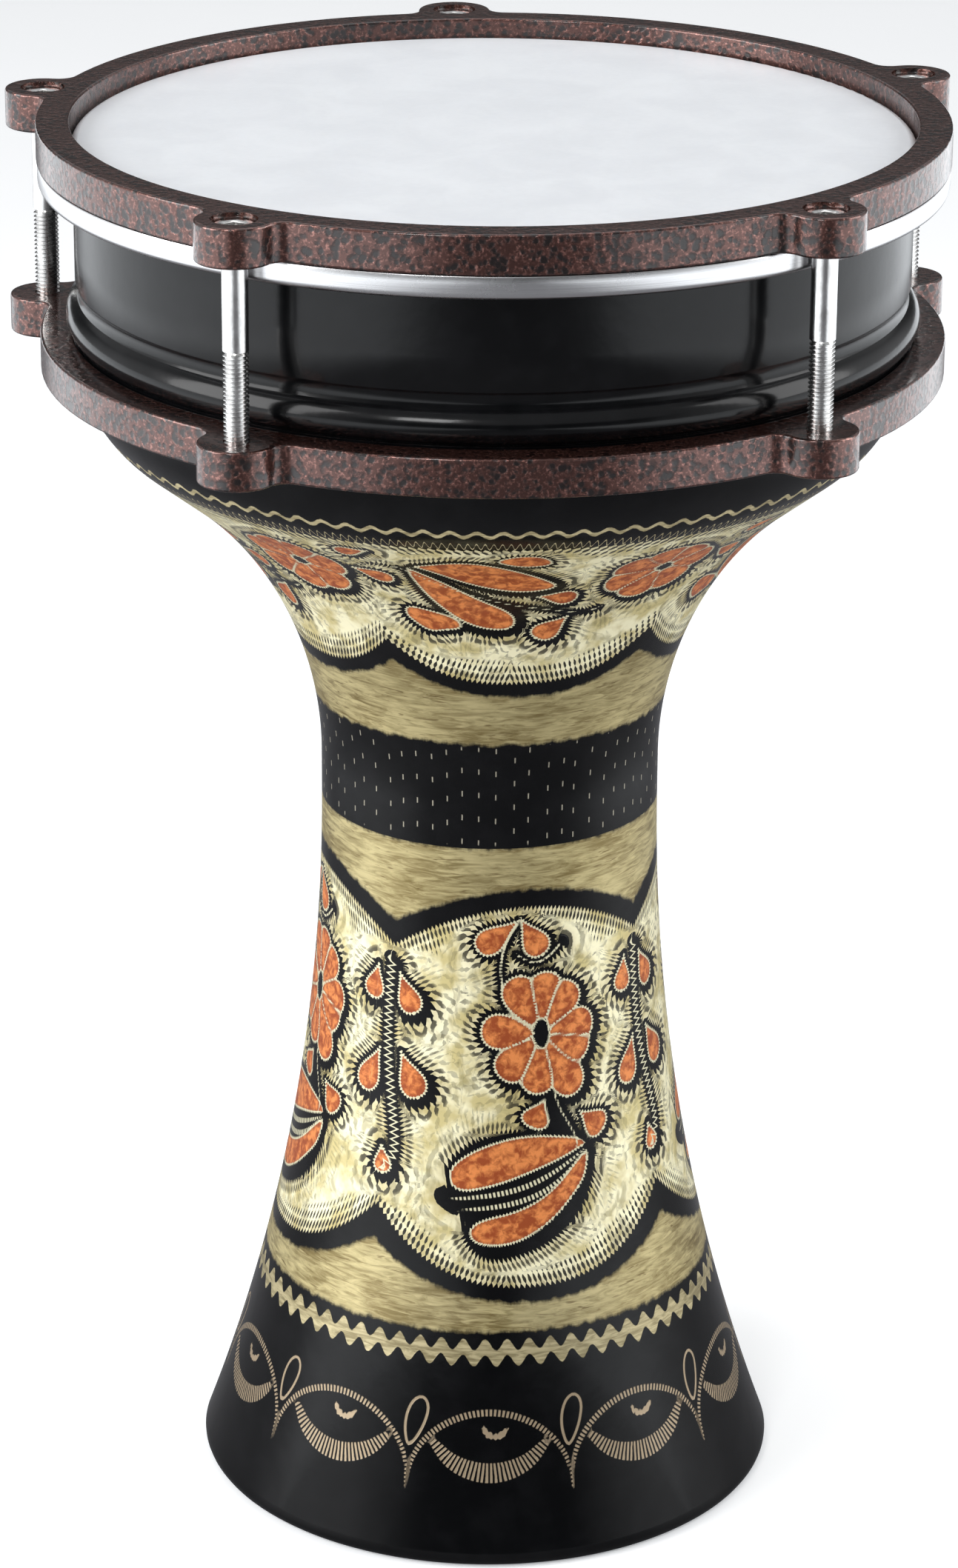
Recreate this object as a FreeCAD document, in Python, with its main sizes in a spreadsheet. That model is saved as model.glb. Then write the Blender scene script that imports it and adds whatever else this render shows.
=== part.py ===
import FreeCAD, Part
import Sketcher
import math
import os

# Darbuka: two-piece spun aluminium shell, plastic head on a channel hoop, and a
# tension ring pulled down on it by five long socket screws that thread into a
# lower ring caught under the bulge of the collar.
# Lengths in mm, +Z up, origin on the axis at the foot's resting plane,
# +Y through one pair of lugs.

os.makedirs("parts", exist_ok=True)
doc = FreeCAD.newDocument("darbuka")

# ---------------------------------------------------------------- sizes
sheet = doc.addObject("Spreadsheet::Sheet", "sizes")
SIZES = [
    # overall
    ("ring_top", "346.6"),
    ("collar_r", "98.6"),
    ("wall", "1.6"),
    # waist and foot
    ("waist_r", "41.15"),
    ("waist_long", "10"),
    ("foot_sweep_r", "512"),
    ("foot_rise", "3.2"),
    ("rim_curl_r", "3"),
    ("rim_flat", "1.31"),
    ("rim_high", "5"),
    ("lap_long", "14"),
    ("lap_gap", "0.05"),
    # bowl
    ("flank_deg", "52"),
    ("flank_long", "14.3"),
    ("shoulder_r", "30"),
    ("seat_step", "0.3"),
    ("seat_long", "4.4"),
    # collar
    ("bulge_r", "5"),
    ("groove_r", "5"),
    ("bulge_high", "8.4"),
    ("groove_high", "4.1"),
    ("groove_in", "0.4"),
    ("head_drop", "4.5"),
    # rings
    ("ring_high", "9.2"),
    ("ring_wide", "7.8"),
    ("ring_gap", "0.6"),
    ("anchor_gap", "0.5"),
    ("ring_on_bulge", "0.3"),
    ("lug_count", "5"),
    ("lug_wall", "3.7"),
    ("screw_gap", "0.4"),
    ("lug_blend_r", "4"),
    ("ring_edge_r", "0.6"),
    ("hole_gap", "0.08"),
    ("thread_gap", "0.05"),
    ("sink_gap", "0.3"),
    ("sink_deep", "7.25"),
    # screws
    ("screw_r", "3"),
    ("screw_long", "50"),
    ("screw_reach", "6.8"),
    ("thread_long", "27"),
    ("thread_pitch", "1"),
    ("thread_deep", "0.58"),
    ("cap_lip", "2"),
    ("cap_high", "6"),
    ("key_flat", "5"),
    ("key_deep", "3"),
    ("screw_lift", "0.05"),
    # head and its hoop
    ("film", "0.25"),
    ("film_gap", "0.02"),
    ("hoop_high", "5.5"),
    ("hoop_inset", "0.2"),
    ("hoop_wall", "1"),
    ("hoop_curl_r", "1.6"),
    ("hoop_gap", "0.5"),
    ("hoop_drop", "0.9"),
    ("hoop_lift", "0.1"),
    ("bite_in", "2.5"),
    ("bite_deep", "2.6"),
    # worked out from the sizes above: screws and rings
    ("clear_hole_r", "=screw_r + hole_gap"),
    ("tapped_r", "=screw_r + thread_gap"),
    ("cap_r", "=screw_r + cap_lip"),
    ("sink_r", "=cap_r + sink_gap"),
    ("lug_r", "=sink_r + lug_wall"),
    ("key_side", "=key_flat / 2 / cos(30deg)"),
    ("ring_low", "=ring_top - ring_high"),
    ("ring_out_r", "=collar_r + ring_gap + ring_wide"),
    ("hoop_out_r", "=ring_out_r - hoop_inset"),
    ("anchor_top", "=ring_top - sink_deep + screw_lift - screw_long + screw_reach"),
    ("bulge_low", "=anchor_top + ring_on_bulge"),
    ("groove_top", "=bulge_low + bulge_high + groove_high"),
    ("lug_at_r", "=hoop_out_r + screw_gap + screw_r"),
    ("lug_in_y", "=((ring_out_r + lug_blend_r) ^ 2 - (lug_r + lug_blend_r) ^ 2 + lug_at_r ^ 2) / (2 * lug_at_r)"),
    ("lug_in_x", "=sqrt((ring_out_r + lug_blend_r) ^ 2 - lug_in_y ^ 2)"),
    ("lug_foot_x", "=lug_in_x * ring_out_r / (ring_out_r + lug_blend_r)"),
    ("lug_foot_y", "=lug_in_y * ring_out_r / (ring_out_r + lug_blend_r)"),
    ("lug_side_x", "=lug_in_x * lug_r / (lug_r + lug_blend_r)"),
    ("lug_side_y", "=lug_at_r + (lug_in_y - lug_at_r) * lug_r / (lug_r + lug_blend_r)"),
    # bowl, waist and foot, from the collar down
    ("seat_r", "=collar_r + seat_step"),
    ("flank_s", "=sin(flank_deg * 1deg)"),
    ("flank_c", "=cos(flank_deg * 1deg)"),
    ("bowl_sweep_r", "=(seat_r - waist_r - flank_long * flank_s) / (1 - flank_c) - shoulder_r"),
    ("shoulder_top", "=bulge_low - seat_long"),
    ("shoulder_low", "=shoulder_top - shoulder_r * flank_s"),
    ("shoulder_low_r", "=seat_r - shoulder_r * (1 - flank_c)"),
    ("sweep_top", "=shoulder_low - flank_long * flank_c"),
    ("sweep_top_r", "=shoulder_low_r - flank_long * flank_s"),
    ("waist_high", "=sweep_top - bowl_sweep_r * flank_s"),
    ("waist_low", "=waist_high - waist_long"),
    ("foot_s", "=(waist_low - foot_rise) / foot_sweep_r"),
    ("foot_c", "=sqrt(1 - foot_s ^ 2)"),
    ("foot_r", "=waist_r + foot_sweep_r * (1 - foot_c)"),
    ("foot_in_s", "=(waist_low - rim_high) / (foot_sweep_r + wall)"),
    ("foot_in_r", "=waist_r + foot_sweep_r - (foot_sweep_r + wall) * sqrt(1 - foot_in_s ^ 2)"),
    ("rim_bore_r", "=foot_r - rim_curl_r - rim_flat"),
    # head
    ("edge_top", "=ring_top - head_drop - film"),
    ("hoop_top", "=ring_low - hoop_lift"),
    ("hoop_low", "=hoop_top - hoop_high"),
    ("hoop_in_r", "=collar_r + hoop_gap"),
    ("bite_r", "=hoop_in_r + bite_in"),
]
for row, (alias, text) in enumerate(SIZES, start=1):
    sheet.set("A%d" % row, alias)
    sheet.set("B%d" % row, text)
    sheet.setAlias("B%d" % row, alias)
doc.recompute()


def size(expression):
    """The value of an expression in the sheet's names, as a number."""
    value = sheet.evalExpression(expression)
    return float(getattr(value, "Value", value))


def bound(expression):
    """The same expression as seen from another object."""
    out, word = [], ""
    names = {alias for alias, _ in SIZES}
    for ch in expression + " ":
        if ch.isalnum() or ch == "_":
            word += ch
            continue
        out.append("sizes." + word if word in names else word)
        word = ""
        out.append(ch)
    return "".join(out).strip()


def new_body(name):
    body = doc.addObject("PartDesign::Body", name)
    body.Label = name
    return body


def plane_of(body, role):
    for feature in body.Origin.OriginFeatures:
        if feature.Role == role:
            return feature
    raise ValueError(role)


def new_sketch(body, name, role):
    sketch = body.newObject("Sketcher::SketchObject", name)
    sketch.AttachmentSupport = [(plane_of(body, role), "")]
    sketch.MapMode = "FlatFace"
    return sketch


def drive(sketch, constraint, expression):
    index = sketch.addConstraint(constraint)
    sketch.setExpression("Constraints[%d]" % index, bound(expression))


def pin_point(sketch, geo, pos, x, y):
    """Tie one point to the sheet: its two distances from the origin."""
    for kind, text in (("DistanceX", x), ("DistanceY", y)):
        value = size(text)
        if abs(value) < 1e-9:
            axis = -2 if kind == "DistanceX" else -1
            sketch.addConstraint(Sketcher.Constraint("PointOnObject", geo, pos, axis))
        elif value > 0:
            drive(sketch, Sketcher.Constraint(kind, -1, 1, geo, pos, value), text)
        else:
            drive(sketch, Sketcher.Constraint(kind, geo, pos, -1, 1, -value), "-(%s)" % text)


def outline(sketch, corners):
    """A closed outline. Each corner is (x, y) or (x, y, radius, side): the radius
    and side of the arc that leads to the next corner, side +1 with its centre on
    the left of the way there and -1 on the right."""
    count = len(corners)
    points = [FreeCAD.Vector(size(c[0]), size(c[1]), 0) for c in corners]
    ends = []
    for i, corner in enumerate(corners):
        p, q = points[i], points[(i + 1) % count]
        if len(corner) == 2:
            geo = sketch.addGeometry(Part.LineSegment(p, q), False)
            ends.append((geo, 1, 2))
            continue
        radius, side = size(corner[2]), corner[3]
        step = q - p
        half = step.Length / 2
        left = FreeCAD.Vector(-step.y, step.x, 0).normalize()
        centre = (p + q) * 0.5 + left * (side * math.sqrt(max(radius ** 2 - half ** 2, 0)))
        a = math.atan2(p.y - centre.y, p.x - centre.x)
        b = math.atan2(q.y - centre.y, q.x - centre.x)
        if side < 0:
            a, b = b, a
        while b < a:
            b += 2 * math.pi
        circle = Part.Circle(centre, FreeCAD.Vector(0, 0, 1), radius)
        geo = sketch.addGeometry(Part.ArcOfCircle(circle, a, b), False)
        ends.append((geo, 1, 2) if side > 0 else (geo, 2, 1))
        drive(sketch, Sketcher.Constraint("Radius", geo, radius), corner[2])
    for i, corner in enumerate(corners):
        geo, start, _ = ends[i]
        last, _, end = ends[i - 1]
        sketch.addConstraint(Sketcher.Constraint("Coincident", last, end, geo, start))
        pin_point(sketch, geo, start, corner[0], corner[1])


def circle(sketch, x, y, radius):
    centre = FreeCAD.Vector(size(x), size(y), 0)
    geo = sketch.addGeometry(
        Part.Circle(centre, FreeCAD.Vector(0, 0, 1), size(radius)), False)
    if abs(centre.x) < 1e-9 and abs(centre.y) < 1e-9:
        sketch.addConstraint(Sketcher.Constraint("Coincident", geo, 3, -1, 1))
    else:
        pin_point(sketch, geo, 3, x, y)
    drive(sketch, Sketcher.Constraint("Radius", geo, size(radius)), radius)


def turned(name, corners):
    """A body spun from one outline of (radius, height) corners."""
    body = new_body(name)
    sketch = new_sketch(body, name + "_section", "XZ_Plane")
    outline(sketch, corners)
    spun = body.newObject("PartDesign::Revolution", name + "_spun")
    spun.Profile = sketch
    spun.ReferenceAxis = (sketch, ["V_Axis"])
    spun.Angle = 360
    sketch.Visibility = False
    doc.recompute()
    return body, spun


def cut_into(body, feature, before):
    """A cut that points away from the body removes nothing, so turn it round."""
    doc.recompute()
    if feature.Shape.isNull() or feature.Shape.Volume > before - 1e-3:
        feature.Reversed = not feature.Reversed
        doc.recompute()


# ---------------------------------------------------------------- shell, upper piece
# Up the outside, over the bearing edge, and down the inside.
turned("bowl_shell", [
    ("waist_r", "waist_low"),
    ("waist_r", "waist_high", "bowl_sweep_r", -1),
    ("sweep_top_r", "sweep_top"),
    ("shoulder_low_r", "shoulder_low", "shoulder_r", 1),
    ("seat_r", "shoulder_top"),
    ("seat_r", "bulge_low", "bulge_r", 1),
    ("collar_r - groove_in", "bulge_low + bulge_high", "groove_r", -1),
    ("collar_r", "groove_top"),
    ("collar_r", "edge_top - wall", "wall", 1),
    ("collar_r - wall", "edge_top"),
    ("collar_r - wall - 0.05", "edge_top"),
    ("collar_r - wall - 0.05", "groove_top + 0.2", "groove_r + 2", 1),
    ("collar_r - groove_in - wall", "bulge_low + bulge_high - 0.3", "bulge_r - 0.6", -1),
    ("seat_r - wall", "bulge_low + 0.4"),
    ("seat_r - wall", "shoulder_top", "shoulder_r - wall", -1),
    ("shoulder_low_r - wall * flank_c", "shoulder_low + wall * flank_s"),
    ("sweep_top_r - wall * flank_c", "sweep_top + wall * flank_s", "bowl_sweep_r + wall", 1),
    ("waist_r - wall", "waist_high"),
    ("waist_r - wall", "waist_low"),
])

# ---------------------------------------------------------------- shell, lower piece
# The top end is stepped in and slides up inside the bowl; the bottom edge is
# folded inward into a flat rim that stands on the floor.
turned("foot_shell", [
    ("rim_bore_r", "0"),
    ("foot_r - rim_curl_r", "0", "rim_curl_r", 1),
    ("foot_r", "foot_rise", "foot_sweep_r", -1),
    ("waist_r", "waist_low"),
    ("waist_r - wall - lap_gap", "waist_low"),
    ("waist_r - wall - lap_gap", "waist_low + lap_long"),
    ("waist_r - wall * 2", "waist_low + lap_long"),
    ("waist_r - wall * 2", "waist_low - 1"),
    ("waist_r - wall", "waist_low - 3.5", "foot_sweep_r + wall", 1),
    ("foot_in_r", "rim_high"),
    ("rim_bore_r", "rim_high"),
])


# ---------------------------------------------------------------- rings
def lugged_ring(name, inside, hole, sunk):
    body = new_body(name)
    band = new_sketch(body, name + "_band", "XY_Plane")
    circle(band, "0", "0", "ring_out_r")
    circle(band, "0", "0", inside)
    pad = body.newObject("PartDesign::Pad", name + "_pad")
    pad.Profile = band
    pad.setExpression("Length", bound("ring_high"))
    doc.recompute()
    ear = new_sketch(body, name + "_ear", "XY_Plane")
    outline(ear, [
        ("-lug_foot_x", "lug_foot_y"),
        ("lug_foot_x", "lug_foot_y", "lug_blend_r", -1),
        ("lug_side_x", "lug_side_y", "lug_r", 1),
        ("0", "lug_at_r + lug_r", "lug_r", 1),
        ("-lug_side_x", "lug_side_y", "lug_blend_r", -1),
    ])
    lug = body.newObject("PartDesign::Pad", name + "_lug")
    lug.Profile = ear
    lug.setExpression("Length", bound("ring_high"))
    body.Tip = lug
    doc.recompute()
    bored = new_sketch(body, name + "_bore", "XY_Plane")
    circle(bored, "0", "lug_at_r", hole)
    bore = body.newObject("PartDesign::Pocket", name + "_hole")
    bore.Profile = bored
    bore.Type = 1
    bore.Midplane = True
    before = lug.Shape.Volume
    cut_into(body, bore, before)
    body.Tip = bore
    repeated = [lug, bore]
    if sunk:
        wide = new_sketch(body, name + "_wide", "XY_Plane")
        wide.setExpression("AttachmentOffset.Base.z", bound("ring_high"))
        circle(wide, "0", "lug_at_r", "sink_r")
        sink = body.newObject("PartDesign::Pocket", name + "_sink")
        sink.Profile = wide
        sink.setExpression("Length", bound("sink_deep"))
        cut_into(body, sink, bore.Shape.Volume)
        body.Tip = sink
        repeated.append(sink)
    doc.recompute()
    around = body.newObject("PartDesign::PolarPattern", name + "_around")
    around.Originals = repeated
    around.Axis = (band, ["N_Axis"])
    around.Angle = 360
    around.setExpression("Occurrences", bound("lug_count"))
    body.Tip = around
    doc.recompute()
    edges = []
    high = size("ring_high")
    for i, edge in enumerate(around.Shape.Edges, start=1):
        box = edge.BoundBox
        if box.ZLength > 1e-4 or min(abs(box.ZMin), abs(box.ZMin - high)) > 1e-4:
            continue
        curve = edge.Curve
        if hasattr(curve, "Radius") and curve.Radius < size("sink_r") + 0.1 and \
                abs(curve.Radius - size("lug_blend_r")) > 1e-3:
            continue
        edges.append("Edge%d" % i)
    soft = body.newObject("PartDesign::Fillet", name + "_soft_edges")
    soft.Base = (around, edges)
    soft.setExpression("Radius", bound("ring_edge_r"))
    body.Tip = soft
    doc.recompute()
    return body


tension_ring = lugged_ring("tension_ring", "collar_r + ring_gap", "clear_hole_r", True)
tension_ring.setExpression("Placement.Base.z", bound("ring_low"))
anchor_ring = lugged_ring("anchor_ring", "seat_r + anchor_gap", "tapped_r", False)
anchor_ring.setExpression("Placement.Base.z", bound("anchor_top - ring_high"))

# ---------------------------------------------------------------- head
turned("head_film", [
    ("0", "edge_top + film_gap"),
    ("collar_r - wall", "edge_top + film_gap", "wall + film_gap", -1),
    ("collar_r + film_gap", "edge_top - wall"),
    ("collar_r + film_gap", "hoop_top - hoop_drop + film_gap"),
    ("bite_r", "hoop_top - hoop_drop + film_gap"),
    ("bite_r", "hoop_top - hoop_drop - bite_deep"),
    ("bite_r + film", "hoop_top - hoop_drop - bite_deep"),
    ("bite_r + film", "hoop_top - hoop_drop + film_gap + film"),
    ("collar_r + film_gap + film", "hoop_top - hoop_drop + film_gap + film"),
    ("collar_r + film_gap + film", "edge_top - wall", "wall + film_gap + film", 1),
    ("collar_r - wall", "edge_top + film_gap + film"),
    ("0", "edge_top + film_gap + film"),
])
turned("flesh_hoop", [
    ("hoop_in_r", "hoop_low"),
    ("hoop_out_r - hoop_curl_r", "hoop_low", "hoop_curl_r", 1),
    ("hoop_out_r", "hoop_low + hoop_curl_r"),
    ("hoop_out_r", "hoop_top - 0.3", "0.3", 1),
    ("hoop_out_r - 0.3", "hoop_top"),
    ("hoop_out_r - hoop_wall", "hoop_top"),
    ("hoop_out_r - hoop_wall", "hoop_low + hoop_wall"),
    ("hoop_in_r + hoop_wall", "hoop_low + hoop_wall"),
    ("hoop_in_r + hoop_wall", "hoop_top - hoop_drop"),
    ("hoop_in_r", "hoop_top - hoop_drop"),
])
turned("hoop_resin", [
    ("hoop_in_r + hoop_wall", "hoop_low + hoop_wall"),
    ("hoop_out_r - hoop_wall", "hoop_low + hoop_wall"),
    ("hoop_out_r - hoop_wall", "hoop_top - hoop_drop"),
    ("bite_r + film + film_gap", "hoop_top - hoop_drop"),
    ("bite_r + film + film_gap", "hoop_top - hoop_drop - bite_deep - film_gap"),
    ("bite_r - film_gap", "hoop_top - hoop_drop - bite_deep - film_gap"),
    ("bite_r - film_gap", "hoop_top - hoop_drop"),
    ("hoop_in_r + hoop_wall", "hoop_top - hoop_drop"),
])


# ---------------------------------------------------------------- screws
def tuning_bolt(number):
    """One M6 socket-head screw, drawn with the underside of its head at z = 0."""
    name = "tuning_bolt_%d" % number
    body, spun = turned(name, [
        ("0", "-screw_long"),
        ("screw_r - 0.7", "-screw_long"),
        ("screw_r", "0.7 - screw_long"),
        ("screw_r", "0"),
        ("cap_r", "0"),
        ("cap_r", "cap_high - 0.5", "0.5", 1),
        ("cap_r - 0.5", "cap_high"),
        ("0", "cap_high"),
    ])
    key = new_sketch(body, name + "_key", "XY_Plane")
    key.setExpression("AttachmentOffset.Base.z", bound("cap_high"))
    outline(key, [
        ("key_side", "0"),
        ("key_side / 2", "key_flat / 2"),
        ("-(key_side / 2)", "key_flat / 2"),
        ("-key_side", "0"),
        ("-(key_side / 2)", "-(key_flat / 2)"),
        ("key_side / 2", "-(key_flat / 2)"),
    ])
    socket = body.newObject("PartDesign::Pocket", name + "_socket")
    socket.Profile = key
    socket.setExpression("Length", bound("key_deep"))
    cut_into(body, socket, spun.Shape.Volume)
    body.Tip = socket
    vee = new_sketch(body, name + "_vee", "XZ_Plane")
    outline(vee, [
        ("screw_r - thread_deep", "1.3 - screw_long"),
        ("screw_r + 0.05", "0.87 - screw_long"),
        ("screw_r + 0.05", "1.73 - screw_long"),
    ])
    groove = body.newObject("PartDesign::Groove", name + "_groove")
    groove.Profile = vee
    groove.ReferenceAxis = (vee, ["V_Axis"])
    groove.Angle = 360
    cut_into(body, groove, socket.Shape.Volume)
    body.Tip = groove
    doc.recompute()
    thread = body.newObject("PartDesign::LinearPattern", name + "_thread")
    thread.Originals = [groove]
    thread.Direction = (vee, ["V_Axis"])
    thread.setExpression("Length", bound("thread_long - 2 * thread_pitch"))
    thread.setExpression("Occurrences", bound("floor(thread_long / thread_pitch) - 1"))
    body.Tip = thread
    doc.recompute()
    turn = "(90 + 360 / lug_count * %d)" % (number - 1)
    body.setExpression("Placement.Base.x", bound("lug_at_r * cos(%s * 1deg)" % turn))
    body.setExpression("Placement.Base.y", bound("lug_at_r * sin(%s * 1deg)" % turn))
    body.setExpression("Placement.Base.z", bound("ring_top - sink_deep + screw_lift"))
    return body


for n in range(1, 6):
    tuning_bolt(n)

# ---------------------------------------------------------------- check and write
doc.recompute()
NODES = ["bowl_shell", "foot_shell", "tension_ring", "anchor_ring", "head_film",
         "flesh_hoop", "hoop_resin"] + ["tuning_bolt_%d" % n for n in range(1, 6)]
for thing in doc.Objects:
    state = [s for s in thing.State if s in ("Invalid", "Error")]
    if state:
        raise RuntimeError("%s is %s" % (thing.Name, state))
for name in NODES:
    shape = doc.getObject(name).Shape
    if shape.isNull() or not shape.isValid() or len(shape.Solids) != 1:
        raise RuntimeError("%s did not build as one sound solid" % name)
    shape.exportStep("parts/%s.step" % name)
    box = shape.BoundBox
    print("%-15s volume %10.1f  x %.2f %.2f  y %.2f %.2f  z %.2f %.2f" % (
        name, shape.Volume, box.XMin, box.XMax, box.YMin, box.YMax, box.ZMin, box.ZMax))
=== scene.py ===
import math

import bmesh
import bpy
import numpy as np
from mathutils import Matrix, Vector


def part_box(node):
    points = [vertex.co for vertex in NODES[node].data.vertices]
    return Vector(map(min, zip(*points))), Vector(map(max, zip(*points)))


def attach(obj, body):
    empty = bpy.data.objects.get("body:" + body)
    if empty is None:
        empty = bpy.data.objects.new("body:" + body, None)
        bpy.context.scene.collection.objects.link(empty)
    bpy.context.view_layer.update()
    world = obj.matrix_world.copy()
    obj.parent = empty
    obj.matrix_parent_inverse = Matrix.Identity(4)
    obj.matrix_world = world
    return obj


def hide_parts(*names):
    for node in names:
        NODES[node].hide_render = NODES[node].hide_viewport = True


# Darbuka: black-lacquered spun aluminium engraved through to gold, two copper
# hammer-finish rings, a white plastic head on a bright hoop, five socket screws.
# Sizes in this file are millimetres unless a name says otherwise.

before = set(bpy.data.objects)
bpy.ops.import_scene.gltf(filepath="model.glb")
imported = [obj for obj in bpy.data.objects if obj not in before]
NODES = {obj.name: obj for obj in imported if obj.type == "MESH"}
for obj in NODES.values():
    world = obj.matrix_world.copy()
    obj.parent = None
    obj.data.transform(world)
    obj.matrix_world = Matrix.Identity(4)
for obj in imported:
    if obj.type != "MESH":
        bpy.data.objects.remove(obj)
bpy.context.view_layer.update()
MM = 0.001
TURN = 2 * math.pi

# the camera, in degrees and metres
HEADING, LOOK_DOWN, ROLL = 5.231, 21.328, -0.355
CAMERA_PLACE = (-0.10967, -1.16957, 0.6372)
CAMERA_LENS, CAMERA_FILM = 117.88, 36

# the spun shell
WALL = 1.6
WAIST_R = 41.15
WAIST_LOW = 178.0        # where the bowl laps over the foot
LAP_TOP = 192.0
NECK_FROM = 188.0        # the straight waist ends here and the neck opens out
NECK_SWEEP = 90.94
SHOULDER_ROUND = 30.0
COLLAR_R = 98.6
BULGE_R = 98.9
FOOT_SWEEP = 512.0
MOUTH_R = 67.6
SECTORS = 16             # a spun shape is one sector, doubled until it closes
BOWL_PARTS, FOOT_PARTS, HOOP_PARTS = 512, 448, 288
TOUCHING = 1e-7          # metres; corners nearer than this are one corner

# the engraved drawing
PANELS, LASHES, SCALLOPS = 4, 10, 5
FRONT_PANEL = 7.0        # azimuth of the middle of the front panel on the foot
FRONT_LASH = -4.3        # of the front lidded scallop below it
FRONT_SCALLOP = 3.5      # and of the front scallop on the bowl
TOOTH = 1.12             # from one rocked stroke to the next
ROW = 2.7                # from one row of strokes to the next
NICK = 0.85              # nicks round a tinted leaf
WRIGGLE = 1.75           # zigzag down a stem
FAN_CUT = 1.04           # separate short cuts in the foot's fans
DASH_COLUMNS, DASH_ROW = 66, 6.1
MEAN_R = 46.0            # turns an azimuth into a run where nothing is drawn

# the screws
SCREWS = 5
SCREW_HEAD = 6.0
SOCKET_HALF = 2.5        # half the hexagon's width across its flats
SOCKET_DEEP = 2.5
THREAD_TURNS = 26        # at one millimetre a turn
THREAD_STEPS = 20        # in each turn


# ------------------------ camera and studio
def set_camera():
    heading, down, roll = (math.radians(a) for a in (HEADING, LOOK_DOWN, ROLL))
    level = Vector((math.cos(heading), -math.sin(heading), 0))
    ahead = Vector((math.sin(heading) * math.cos(down),
                    math.cos(heading) * math.cos(down), -math.sin(down)))
    over = level.cross(ahead)
    right = level * math.cos(roll) - over * math.sin(roll)
    up = level * math.sin(roll) + over * math.cos(roll)
    lens = bpy.data.cameras.new("studio_camera")
    lens.lens = CAMERA_LENS
    lens.sensor_width = CAMERA_FILM
    lens.clip_end = 20
    camera = bpy.data.objects.new("studio_camera", lens)
    bpy.context.scene.collection.objects.link(camera)
    camera.matrix_world = Matrix.Translation(CAMERA_PLACE) @ Matrix(
        (right, up, -ahead)).transposed().to_4x4()
    bpy.context.scene.camera = camera


def soft_box(name, place, target, wide, high, watts):
    """A soft lamp that lights and reflects but isn't seen itself. All in metres."""
    lamp = bpy.data.lights.new(name, "AREA")
    lamp.shape = "RECTANGLE"
    lamp.size, lamp.size_y = wide, high
    lamp.energy = watts
    light = bpy.data.objects.new(name, lamp)
    light.visible_camera = False
    bpy.context.scene.collection.objects.link(light)
    light.location = place
    towards = Vector(target) - Vector(place)
    light.rotation_euler = towards.to_track_quat("-Z", "Y").to_euler()


def set_studio():
    soft_box("left_bank", (-1.35, -0.35, 0.85), (0, 0, 0.2), 1.2, 1.2, 23)
    soft_box("right_bank", (1.35, -0.2, 0.85), (0, 0, 0.2), 1.0, 1.2, 12)
    soft_box("front_key", (-0.65, -1.5, 1.35), (0, 0, 0.2), 0.45, 0.45, 8)
    soft_box("overhead", (0.1, 0.35, 1.5), (0, 0, 0.3), 1.2, 0.9, 3.5)
    world = bpy.data.worlds.new("studio")
    bpy.context.scene.world = world
    world.use_nodes = True
    sky = world.node_tree.nodes["Background"]
    bench = Bench(world.node_tree)
    apart = bench.node("ShaderNodeSeparateXYZ")
    bench.feed(apart.inputs[0], bench.node("ShaderNodeTexCoord").outputs["Generated"])
    x, _, z = apart.outputs
    sideways = bench.step(bench.unsigned(x), 0.45, 0.95, 0.06, 0.85)
    above = bench.step(z, 0.24, 0.40, 0.0, 0.46)
    seen = bench.node("ShaderNodeLightPath").outputs["Is Camera Ray"]
    sky.inputs["Color"].default_value = (0.97, 0.98, 1.0, 1)
    bench.feed(sky.inputs["Strength"],
               bench.blend(seen, bench.most(sideways, above), 0.86))
    view = bpy.context.scene.view_settings
    view.view_transform = "Standard"
    view.look = "None"


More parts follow.
